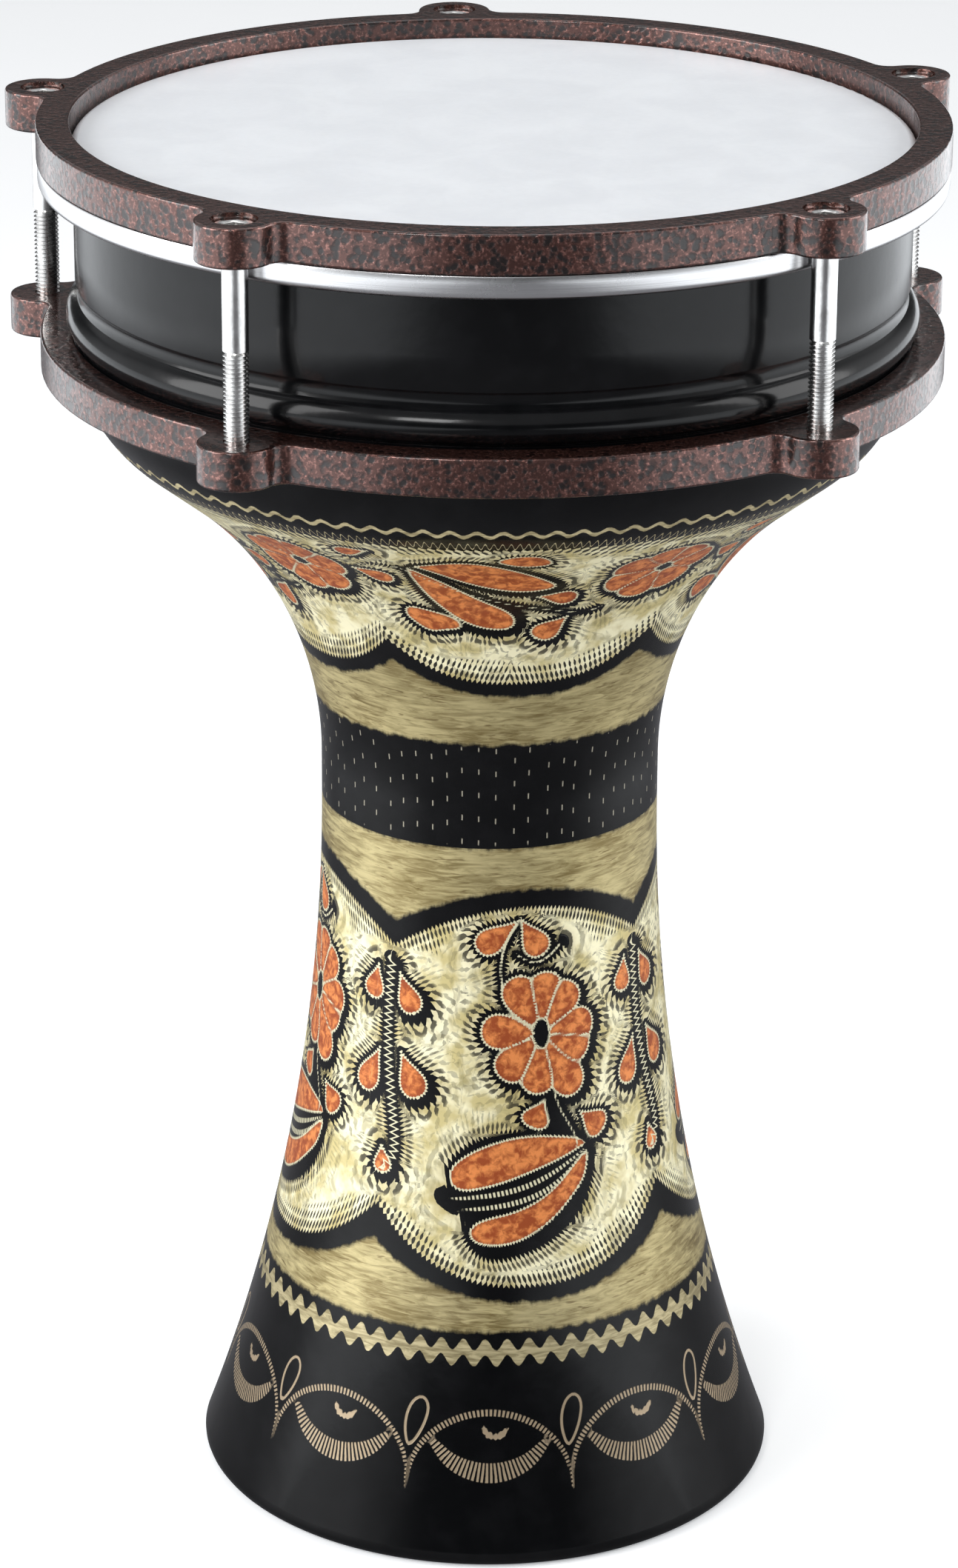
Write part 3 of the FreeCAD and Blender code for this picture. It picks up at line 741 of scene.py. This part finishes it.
class Drawing:
    """The engraved drawing on one shell, as distances over its outside corners.
    Azimuth is in degrees from the front towards the right; heights follow the wall."""
    FAR = 40.0
    BLACK_REACH, FAN_REACH, LINE_REACH = 9, 6, 4     # how far each kind is measured

    def __init__(self, piece, outside):
        self.repeats = 1                             # copies of a motif round the drum
        mesh = piece.data
        co = np.zeros(len(mesh.vertices) * 3)
        mesh.vertices.foreach_get("co", co)
        co = co.reshape(-1, 3) / MM
        self.mesh = mesh
        r, z = np.hypot(co[:, 0], co[:, 1]), co[:, 2]
        prof = np.array(sorted(outside, key=lambda p: p[1]))
        prof = prof[np.concatenate([[True], np.diff(prof[:, 1]) > 1e-4])]
        self.prof_z, self.prof_r = prof[:, 1], prof[:, 0]
        walked = np.concatenate([[0], np.cumsum(np.hypot(*np.diff(prof, axis=0).T))])
        self.prof_t = walked + self.prof_z[-1] - walked[-1]
        self.keep = np.nonzero(r > self.radius(z) - 0.4)[0]
        self.az = np.degrees(np.arctan2(co[self.keep, 0], -co[self.keep, 1]))
        self.z = z[self.keep]
        self.r = r[self.keep]
        self.t = self.climb(self.z)
        n = len(self.keep)
        self.edge = np.full(n, self.FAR)      # to the nearest black shape in the ground
        self.copper = np.full(n, -self.FAR)
        self.line = np.full(n, self.FAR)
        self.lash = np.full(n, -self.FAR)
        self.loop = np.full(n, -self.FAR)
        self.stem = np.full(n, self.FAR)
        self.stem_run = np.zeros(n)
        self.run = np.zeros(n)

    def radius(self, z):
        return np.interp(z, self.prof_z, self.prof_r)

    def climb(self, z):
        return np.interp(z, self.prof_z, self.prof_t)

    def offset(self, az):
        return (self.az - az + 180) % 360 - 180

    def share(self, az, repeats):
        """0 in the middle of each repeat and 1 where two of them meet."""
        half = 180 / repeats
        return np.abs((self.offset(az) + half) % (2 * half) - half) / half

    def path(self, points):
        """Points given as (degrees, height), laid out flat in millimetres."""
        p = np.array(points, float)
        return np.column_stack([np.radians(p[:, 0]) * self.radius(p[:, 1]),
                                self.climb(p[:, 1])])

    def each(self, az, line, margin):
        """The corners near each copy of a line round the drum, and where they are."""
        low, high = line.min(0) - margin, line.max(0) + margin
        level = (self.t > low[1]) & (self.t < high[1])
        for k in range(self.repeats):
            x = np.radians(self.offset(az + 360 / self.repeats * k)) * self.r
            near = level & (x > low[0]) & (x < high[0])
            yield np.nonzero(near)[0], x[near], self.t[near]

    def lay(self, at, gap, along):
        """Black comes up to gap 0 here; the nearest black counts."""
        self.run[at] = np.where(gap < self.edge[at], along, self.run[at])
        self.edge[at] = np.minimum(self.edge[at], gap)

    def leaf(self, az, height, loop, turn=0.0, outline=1.5, weight=0.9, split=False):
        """A copper leaf with a black outline, heavier to its lower right. Two leaves
        that overlap keep a thin line between them if they are split."""
        c, s = math.cos(math.radians(turn)), math.sin(math.radians(turn))
        p = rounded(loop) @ np.array([[c, s], [-s, c]])
        p[:, 1] += self.climb(height)
        mid = p.mean(0)
        for at, x, y in self.each(az, p, self.BLACK_REACH):
            inner, along = measured(x, y, p, True)
            away = np.hypot(x - mid[0], y - mid[1]) + 0.5
            lean = np.clip(((x - mid[0]) * 0.75 - (y - mid[1]) * 0.66) / away, 0, 1)
            self.lay(at, -inner - outline - weight * lean, along)
            held = self.copper[at]
            merged = np.maximum(inner, held)
            if split:
                both = (inner > -0.6) & (held > -0.6)
                merged = np.where(both, np.abs(inner - held) / 2 - 0.04, merged)
            self.copper[at] = merged

    def black(self, az, points, closed=True, half=0.0, over=False):
        """A black patch, or a black line half wide on each side. It hides the copper
        under it if it lies over."""
        p = rounded(self.path(points), closed)
        for at, x, y in self.each(az, p, self.BLACK_REACH):
            gap, along = measured(x, y, p, closed)
            self.lay(at, -gap if closed else np.abs(gap) - half, along)
            if over:
                self.copper[at] = np.minimum(self.copper[at], -gap - 0.3)

    def wriggle(self, az, points, half):
        """A black stem with one zigzag line down its middle."""
        self.black(az, points, False, half)
        p = rounded(self.path(points), False)
        for at, x, y in self.each(az, p, self.LINE_REACH):
            gap, along = measured(x, y, p, False)
            closer = np.abs(gap) < np.abs(self.stem[at])
            self.stem[at] = np.where(closer, gap, self.stem[at])
            self.stem_run[at] = np.where(closer, along, self.stem_run[at])

    def hair(self, az, points, closed=False, band=None, solid=False):
        """A thin cut line, on a black band if one is given, or a solid cut shape."""
        if band:
            self.black(az, points, closed, band)
        p = rounded(self.path(points), closed)
        for at, x, y in self.each(az, p, self.LINE_REACH):
            gap, _ = measured(x, y, p, closed)
            if closed and not solid:
                self.loop[at] = np.maximum(self.loop[at], gap)
            else:
                gap = np.maximum(-gap, 0) if solid else np.abs(gap)
                self.line[at] = np.minimum(self.line[at], gap)

    def fan(self, az, points, half):
        """A band of short cuts across a line, half wide on each side in its middle and
        narrow at its ends."""
        p = rounded(self.path(points), False)
        for at, x, y in self.each(az, p, self.FAN_REACH):
            gap, along = measured(x, y, p, False)
            share = np.clip(along / np.hypot(*np.diff(p, axis=0).T).sum(), 0, 1)
            wide = half * (0.35 + 0.65 * np.sin(np.pi * share) ** 0.7)
            value = wide - np.abs(gap)
            end = (share < 0.001) | (share > 0.999)
            value = np.where(end, -np.abs(gap) + 0.2, value)
            better = value > self.lash[at]
            self.lash[at] = np.where(better, value, self.lash[at])
            self.run[at] = np.where(better, along, self.run[at])

    def store(self, edges, ground_from, ground_to, plain_edges):
        """Edges are heights, one per corner each, between black and bare, lowest first,
        with black below the first. The drawing shows between two of them."""
        slope = np.gradient(self.prof_t, self.prof_z)
        steep = np.interp(self.z, self.prof_z, slope)
        edges = np.array([np.broadcast_to(e, self.z.shape) for e in edges])
        gaps = np.abs(self.z - edges) * steep
        nearest = gaps.argmin(0)
        away = gaps.min(0)
        below = (edges < self.z).sum(0)
        bare = np.where(below % 2 == 1, away, -away)
        plain = np.isin(nearest, plain_edges).astype(float)
        inside = (self.z > edges[ground_from] - 1) & (self.z < edges[ground_to] + 1)
        round_drum = np.abs(np.radians(self.az)) * MEAN_R
        use = inside & (self.edge < bare)
        calm = np.where(use, 0.2, np.clip((self.edge - bare) / 2.5, 0.2, 1))
        run = np.where(use | (self.lash > -2), self.run, round_drum)
        # each value, and what it is on corners that carry no drawing
        for name, value, blank in (
                ("bare", np.where(use, self.edge, bare), -9.0),
                ("plain", np.where(use, 0.0, plain), 0.0), ("calm", calm, 0.0),
                ("run", run, 0.0), ("copper", self.copper, -9.0),
                ("line", self.line, 9.0), ("lash", self.lash, -9.0),
                ("loop", self.loop, -9.0), ("stem", self.stem, 9.0),
                ("stem_run", self.stem_run, 0.0)):
            every = np.full(len(self.mesh.vertices), blank)
            every[self.keep] = value
            held = self.mesh.attributes.new(name, "FLOAT", "POINT")
            held.data.foreach_set("value", every.astype(np.float32))


def drop(long, wide):
    """A falling drop with its tip up."""
    half = [(0.14, 0.36), (0.42, 0.06), (0.6, -0.24), (0.42, -0.5), (0.14, -0.57)]
    right = [(x * wide, y * long) for x, y in half]
    return [(0, 0.62 * long)] * 2 + right + [(-x, y) for x, y in reversed(right)]


def petal(angle, long, wide):
    """A petal that points away from the flower's middle at this angle."""
    c, s = math.cos(math.radians(angle)), math.sin(math.radians(angle))
    half = [(2.0, 0.6), (0.40 * long, 0.34 * wide), (0.66 * long, 0.5 * wide),
            (0.89 * long, 0.47 * wide), (1.04 * long, 0.2 * wide)]
    loop = half + [(a, -b) for a, b in reversed(half)]
    return [(a * c - b * s, a * s + b * c) for a, b in loop]


def blossom(drawing, az, height, petals, wide):
    """Petals given as (degrees, length) round a middle, each split from the next."""
    for angle, long in petals:
        drawing.leaf(az, height, petal(angle, long, wide), outline=2.0, weight=1.3,
                     split=True)


def draw_panels(d):
    """Four panels round the neck: a flower over a split bud, garlands between."""
    d.repeats = PANELS
    a = FRONT_PANEL
    blossom(d, a + 5, 130.2, [(4, 13.4), (55, 14.0), (84, 15.0), (116, 15.6),
                              (174, 14.2), (226, 14.2), (265, 14.8), (298, 18.0),
                              (333, 13.2)], 9.0)
    d.black(a + 5, [(-2.4, 130.2), (-2.0, 132.7), (0, 134.0), (2.0, 132.7),
                    (2.4, 130.2), (2.0, 127.7), (0, 126.4), (-2.0, 127.7)], over=True)
    # the bud: two halves, a dark split between them with cut lines along it
    b = a - 3
    split_bud = [(-17.5, 4.4), (-10, 10.0), (1, 13.2), (14, 11.2), (18, 9.0), (18, 9.0),
                 (12, 6.6), (4.5, 4.2), (-6, 0.6), (-15.8, -1.4)]
    low_bud = [(-12.8, -11.3), (-10, -8.2), (0.5, -6.0), (8.6, -1.8), (15.5, 5.4),
               (18, 7), (18, 7), (17.4, 1), (14, -3.4), (7.6, -9.6), (-1.6, -14.4),
               (-10.6, -14.4)]
    d.black(b, [(-23, 97), (-14, 104.6), (1, 107.2), (18, 105.4), (25, 104), (25.5, 95),
                (20, 84.6), (9.5, 77), (-3.8, 73.4), (-11.5, 73.8), (-17, 79.6),
                (-16, 84.4), (-20.8, 85.8), (-24.6, 88.4), (-24.4, 91.4), (-21, 92)])
    for half in (split_bud, low_bud):
        d.leaf(b, 92, half, outline=1.0, weight=0.3)
    d.fan(b, [(-21, 88.8), (-2, 90.8), (10, 94.4), (21, 99.4)], 0.75)
    d.fan(b, [(-18, 86.2), (0, 88.0), (11, 91.6), (20, 98)], 0.75)
    # two drops and a curling stalk under the flower
    d.leaf(a + 3.2, 109.9, drop(6.4, 6.4), turn=-28, outline=1.7)
    d.leaf(a + 21.2, 105.9, drop(7.4, 6.4), turn=48, outline=1.7)
    d.hair(a, [(8.6, 115), (10.6, 110), (13, 106.6), (15.4, 102.6), (15.2, 100)],
           band=2.4)
    d.black(a, [(-1, 114), (8, 115), (14, 111), (16.5, 104), (10, 103.4), (1, 105.6)])
    # leaves over the flower
    d.leaf(a - 9.3, 155.6, drop(10.5, 6.0), turn=-53, outline=1.6)
    d.leaf(a + 2.2, 154.9, drop(9.4, 6.0), turn=30, outline=1.6)
    d.hair(a, [(-7.6, 141.5), (-8.6, 148), (-6.5, 154.5), (-2.6, 158.6)], band=1.9)
    d.hair(a, [(-3.2, 150.8), (0, 149.2), (3.6, 148), (8.6, 149.8), (12, 152.4)],
           band=1.9)
    # garland
    g = a - 180 / PANELS
    d.wriggle(g, [(-0.8, 146.4), (-1.4, 140), (-1.0, 124), (1.8, 111), (4.2, 101),
                  (3.6, 96.8), (0.8, 94.6)], 2.6)
    d.black(g, [(-4, 147.5), (1.5, 149), (6.5, 145.6), (2, 143.4)])
    d.black(g, [(3, 112), (6.4, 106), (7.6, 98), (5.2, 92), (1, 90.6), (3.4, 98)])
    for az, height, long, wide, turn in (
            (-7.2, 140.0, 7.6, 5.2, -10), (5.4, 138.9, 9.0, 5.6, 24),
            (-6.6, 117.6, 10.4, 5.8, -20), (7.6, 118.4, 10.2, 6.4, 26),
            (0.2, 96.0, 6.0, 4.4, 8)):
        d.leaf(g + az, height, drop(long, wide), turn=turn, outline=2.0, weight=1.6)


def draw_lashes(d):
    """Ten lidded scallops round the foot, with a loop rising from each cusp."""
    d.repeats = LASHES
    a = FRONT_LASH
    d.fan(a, [(-18, 17.6), (-17.6, 25), (-14, 31.4), (-7.5, 36), (0, 37.6), (7.5, 36),
              (14, 31.4), (17.6, 25), (18, 17.6)], 0.9)
    d.fan(a, [(-13, 30), (-8, 24.6), (0, 22.3), (8, 24.6), (13, 30)], 2.5)
    d.hair(a, [(-1.7, 34.6), (-1.4, 32.0), (0.9, 30.6), (3.3, 31.5), (4.4, 33.9),
               (2.9, 32.5), (1.0, 31.8), (-0.5, 32.7)], closed=True, solid=True)
    d.hair(a - 180 / LASHES, [(-0.6, 28.0), (-1.7, 33.5), (-0.5, 38.6), (2.1, 40.6),
                              (4.0, 38.2), (3.0, 33.4), (0.8, 29.0)], closed=True)


def draw_scallops(d):
    """Five scallops under the bowl: paired leaves in each, a blossom between."""
    d.repeats = SCALLOPS
    a = FRONT_SCALLOP
    # the pair of long leaves, their stalk and the bud beside them
    d.leaf(a, 245, [(-30, 22.4), (-30, 22.4), (-19, 27.4), (-9, 23.6), (3, 14.0),
                    (5, 10.2), (-4, 8.6), (-15.5, 12.8), (-26, 20.4)],
           outline=2.3, weight=1.0)
    d.leaf(a, 245, [(-31, 21.0), (-31, 21.0), (-21.5, 13.0), (-13, 5.2), (-3.6, -1.4),
                    (-3.6, -8.0), (-13.8, -6.4), (-23.6, 4.0), (-29.6, 15.6)],
           outline=2.3, weight=1.4, split=True)
    d.hair(a, [(-25, 259.6), (-16.6, 252.2), (-5.5, 247.3), (3.5, 245.2), (12, 242.8),
               (16, 244.4)], band=1.9)
    d.hair(a, [(-33, 258.6), (-30, 260.4), (-25, 259.6)], band=1.1)
    d.leaf(a - 21.6, 241.4, [(-6, 5.2), (-1, 4.0), (5, 1.4), (6.4, -2.6), (2, -3.6),
                             (-1.5, -4.6), (-4.5, -2.0), (-6.8, 1.4)],
           outline=2.0, weight=0.6, split=True)
    d.leaf(a - 3.4, 263.6, [(-7, 0.6), (-3, 3.8), (2, 4.0), (5.4, 1.8), (6.6, -2.2),
                            (1.4, -3.4), (-3, -2.2)], outline=1.4, weight=0.6)
    for az, height, long, wide, turn, outline in (
            (4.8, 249.2, 8.4, 5.4, 80, 1.8), (5.4, 239.2, 8.6, 6.4, -40, 2.0),
            (-31.6, 264.4, 8.0, 4.6, -70, 1.7), (-31.2, 255.8, 9.0, 5.4, 62, 1.8)):
        d.leaf(a + az, height, drop(long, wide), turn=turn, outline=outline)
    blossom(d, a + 25, 255.6, [(12, 12.5), (62, 11.5), (112, 12.0), (160, 14.0),
                               (205, 13.6), (252, 13.0), (308, 12.5)], 10.6)


# ------------------------ pieces
def use_wall_metal(piece, outside_r):
    """Faces turned towards the axis show bare spun metal; the rest stays lacquered."""
    faces = piece.data.polygons
    middle, normal = np.zeros(len(faces) * 3), np.zeros(len(faces) * 3)
    faces.foreach_get("center", middle)
    faces.foreach_get("normal", normal)
    middle, normal = middle.reshape(-1, 3) / MM, normal.reshape(-1, 3)
    inward = (middle[:, :2] * normal[:, :2]).sum(1) < 0
    deep = np.hypot(middle[:, 0], middle[:, 1]) < outside_r(middle[:, 2]) - 0.7
    faces.foreach_set("material_index", (inward | deep).astype(np.int32))


def make_shells(lacquer, spun_metal):
    """The bowl and the foot. The bands between black and gold dip at each cusp, where
    u is 1, and rise in the middle of each scallop or panel, where u is 0."""
    half, outside = bowl_section()
    bowl = finish_mesh(half.spun(BOWL_PARTS), "lacquered_bowl", "shell",
                       [lacquer, spun_metal])
    drawing = Drawing(bowl, outside)
    draw_scallops(drawing)
    u = drawing.share(FRONT_SCALLOP, SCALLOPS)
    drawing.store([205.4, 218.2 + 8.6 * u ** 2.6, 222.7 + 11 * u ** 3, 268.4],
                  2, 3, [0, 1])
    use_wall_metal(bowl, drawing.radius)
    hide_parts("bowl_shell")

    half, outside = foot_section()
    foot = finish_mesh(half.spun(FOOT_PARTS), "lacquered_foot", "shell",
                       [lacquer, spun_metal])
    drawing = Drawing(foot, outside)
    draw_panels(drawing)
    draw_lashes(drawing)
    u = drawing.share(FRONT_PANEL, PANELS)
    drawing.store([56.9, 63.2 + 13 * u ** 2.2, 67.8 + 17.6 * u ** 2.4,
                   162.3 - 12 * u ** 2, 167.6 - 10.4 * u ** 2, 177.7],
                  2, 3, [0, 1, 4, 5])
    use_wall_metal(foot, drawing.radius)
    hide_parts("foot_shell")


def make_hoop(bright):
    """The bright hoop: a channel that holds the film's edge, with a rolled lip."""
    half = HalfSection(99.1, 331.8)
    half.line(105.2, 331.8, 2).arc(106.8, 333.4, 1.6, 1, 6).line(106.8, 337.0, 2)
    half.arc(106.5, 337.3, 0.3, 1, 2).line(105.8, 337.3).line(105.8, 332.8, 2)
    half.line(100.1, 332.8).line(100.1, 336.4).line(99.1, 336.4)
    hoop = finish_mesh(half.spun(HOOP_PARTS), "turned_hoop", "shell", [bright])
    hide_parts("flesh_hoop")


def repaint(node, material):
    slots = NODES[node].data.materials
    slots.clear()
    slots.append(material)


def sink_socket(bm, top):
    """Draws the open rim at the screw's top in to a hexagon and sinks it."""
    mouth = [e for e in bm.edges if e.is_boundary
             and all(v.co.z > (top - 1) * MM for v in e.verts)]
    for v in {v for e in mouth for v in e.verts}:
        way = math.atan2(v.co.y, v.co.x)
        flat = (way + math.pi / 6) % (math.pi / 3) - math.pi / 6
        reach = SOCKET_HALF / math.cos(flat) * MM
        v.co.x, v.co.y = math.cos(way) * reach, math.sin(way) * reach
    made = bmesh.ops.extrude_edge_only(bm, edges=mouth)["geom"]
    sunk = only(made, bmesh.types.BMVert)
    bmesh.ops.translate(bm, verts=sunk, vec=(0, 0, -SOCKET_DEEP * MM))
    bmesh.ops.contextual_create(bm, geom=[e for e in only(made, bmesh.types.BMEdge)
                                          if all(v in sunk for v in e.verts)])


def wind_thread(bm, bottom):
    """One closed thread profile, wound up the shank and closed at both ends."""
    ridge = [bm.verts.new((r * MM, 0, (bottom + 0.5 + z) * MM))
             for r, z in ((2.36, 0.0), (2.95, 0.4), (2.95, 0.55), (2.36, 0.95))]
    edges = [bm.edges.new(pair) for pair in zip(ridge, ridge[1:] + ridge[:1])]
    bmesh.ops.spin(bm, geom=ridge + edges, cent=(0, 0, 0), axis=(0, 0, 1),
                   angle=TURN * THREAD_TURNS, steps=THREAD_STEPS * THREAD_TURNS,
                   dvec=(0, 0, MM / THREAD_STEPS))
    bmesh.ops.holes_fill(bm, edges=[e for e in bm.edges if e.is_boundary], sides=4)


def make_screw(number, zinc):
    """Socket screw with a true helical thread, at its bolt's place."""
    node = "tuning_bolt_%d" % number
    low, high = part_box(node)
    middle = (low + high) / 2
    bottom, top = low.z / MM, high.z / MM
    head = top - SCREW_HEAD
    shank = HalfSection(0, bottom + 0.02)
    shank.line(2.3, bottom + 0.02).line(2.42, bottom + 0.4).line(2.42, head - 23.0, 2)
    shank.line(2.97, head - 22.4).line(2.97, head - 0.02, 2).line(4.7, head - 0.02)
    shank.line(4.95, head + 0.25).line(4.97, top - 0.6)
    shank.arc(4.45, top - 0.03, 0.55, 1, 4).line(3.3, top - 0.03).line(2.9, top - 0.35)
    bm = shank.bm
    bmesh.ops.spin(bm, geom=bm.verts[:] + bm.edges[:], cent=(0, 0, 0), axis=(0, 0, 1),
                   angle=TURN, steps=36, use_merge=True)
    bmesh.ops.remove_doubles(bm, verts=bm.verts, dist=TOUCHING)
    sink_socket(bm, top)
    bmesh.ops.recalc_face_normals(bm, faces=bm.faces)
    wind_thread(bm, bottom)
    bmesh.ops.translate(bm, verts=bm.verts, vec=(middle.x, middle.y, 0))
    screw = finish_mesh(bm, "socket_screw_%d" % number, "screw_%d" % number, [zinc], 35)
    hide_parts(node)


def make_floor(material):
    bm = bmesh.new()
    bmesh.ops.create_grid(bm, x_segments=8, y_segments=8, size=6)
    mesh = bpy.data.meshes.new("studio_floor")
    bm.to_mesh(mesh)
    bm.free()
    floor = bpy.data.objects.new("studio_floor", mesh)
    bpy.context.scene.collection.objects.link(floor)
    mesh.materials.append(material)


set_camera()
set_studio()
make_floor(floor_look())
make_shells(engraved_lacquer(),
            turned_metal("spun_aluminium", (0.42, 0.42, 0.42), (0.66, 0.66, 0.65),
                         0.38, 0.5, 0.02))
paint = hammer_paint()
repaint("tension_ring", paint)
repaint("anchor_ring", paint)
repaint("head_film", drum_skin())
make_hoop(turned_metal("hoop_bright", (0.66, 0.66, 0.67), (0.86, 0.86, 0.87),
                       0.26, 0.25, 0.012))
repaint("hoop_resin", resin_look())
zinc = zinc_plate()
for number in range(1, SCREWS + 1):
    make_screw(number, zinc)
